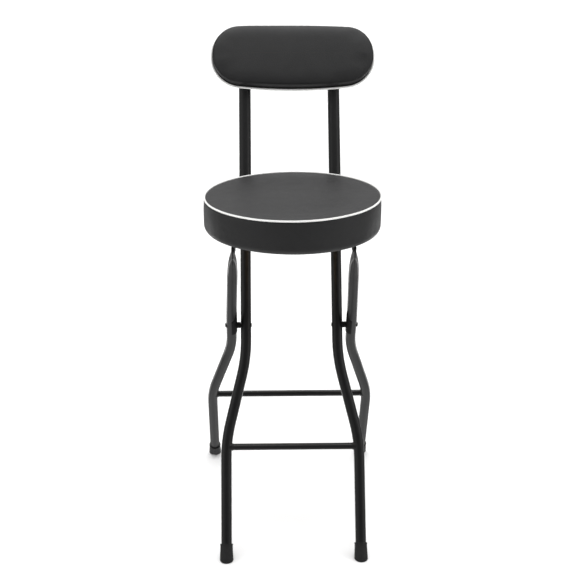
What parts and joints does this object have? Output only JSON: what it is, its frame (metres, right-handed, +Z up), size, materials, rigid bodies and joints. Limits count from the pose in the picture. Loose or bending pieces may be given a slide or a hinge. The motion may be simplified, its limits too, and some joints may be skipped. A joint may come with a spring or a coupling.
{
  "type": "folding bar stool",
  "caption": "Folding bar stool with a round padded seat, a padded oblong backrest with light piping, and a crossed black tube frame that closes like scissors.",
  "frame": {"origin": "bottom centre of the whole stool's box as it stands open on the floor", "axes": "+Z up, the front of the seat faces -Y, X across the stool, X = 0 is the middle plane"},
  "size_m": [0.323, 0.4932, 0.8673],
  "materials": {
    "frame_paint": "glossy black powder coat",
    "bracket_paint": "semi-gloss black paint on pressed steel",
    "foot_rubber": "satin moulded black rubber",
    "plug_plastic": "moulded black plastic",
    "spacer_plastic": "moulded black nylon",
    "black_screw": "black coated steel",
    "zinc_screw": "bright zinc plated steel",
    "vinyl": "black upholstery vinyl with fine grain",
    "piping": "satin white vinyl piping",
    "plywood": "raw plywood",
    "foam": "cream upholstery foam"
  },
  "bodies": {
    "front_frame": {"front_leg_left": "frame_paint", "front_leg_right": "frame_paint", "front_crossbar": "frame_paint", "seat_rest_bar": "frame_paint", "backrest_post_left": "frame_paint", "backrest_post_right": "frame_paint", "post_end_plugs": "plug_plastic", "post_screws": "black_screw", "pivot_rivets": "black_screw", "front_foot_left": "foot_rubber", "front_foot_right": "foot_rubber", "backrest_board": "plywood", "backrest_foam": "foam", "backrest_cover": "vinyl", "backrest_piping": "piping", "backrest_bolts": "black_screw", "backrest_tnuts": "zinc_screw"},
    "rear_frame": {"rear_leg_left": "frame_paint", "rear_leg_right": "frame_paint", "rear_crossbar": "frame_paint", "pivot_spacer_left": "spacer_plastic", "pivot_spacer_right": "spacer_plastic", "rear_foot_left": "foot_rubber", "rear_foot_right": "foot_rubber"},
    "seat": {"seat_board": "plywood", "seat_foam": "foam", "seat_cover": "vinyl", "seat_piping": "piping", "seat_staples": "zinc_screw", "seat_bracket_left": "bracket_paint", "seat_bracket_right": "bracket_paint", "seat_rear_hook": "bracket_paint", "seat_bracket_screws": "zinc_screw", "seat_hook_screws": "zinc_screw", "seat_pivot_rivets": "black_screw", "seat_pivot_washers": "spacer_plastic"}
  },
  "joints": [
    {"name": "leg_fold", "type": "hinge", "parent": "front_frame", "child": "rear_frame", "pos_m": [0, -0.03112, 0.3658], "axis": [-1, 0, 0], "range_deg": [0, 54.4]},
    {"name": "seat_fold", "type": "hinge", "parent": "rear_frame", "child": "seat", "pos_m": [0, -0.13451, 0.5456], "axis": [1, 0, 0], "range_deg": [0, 115.4]}
  ],
  "couplings": [
    {"joint": "seat_fold", "follows": "leg_fold", "ratio": 2.1213}
  ]
}
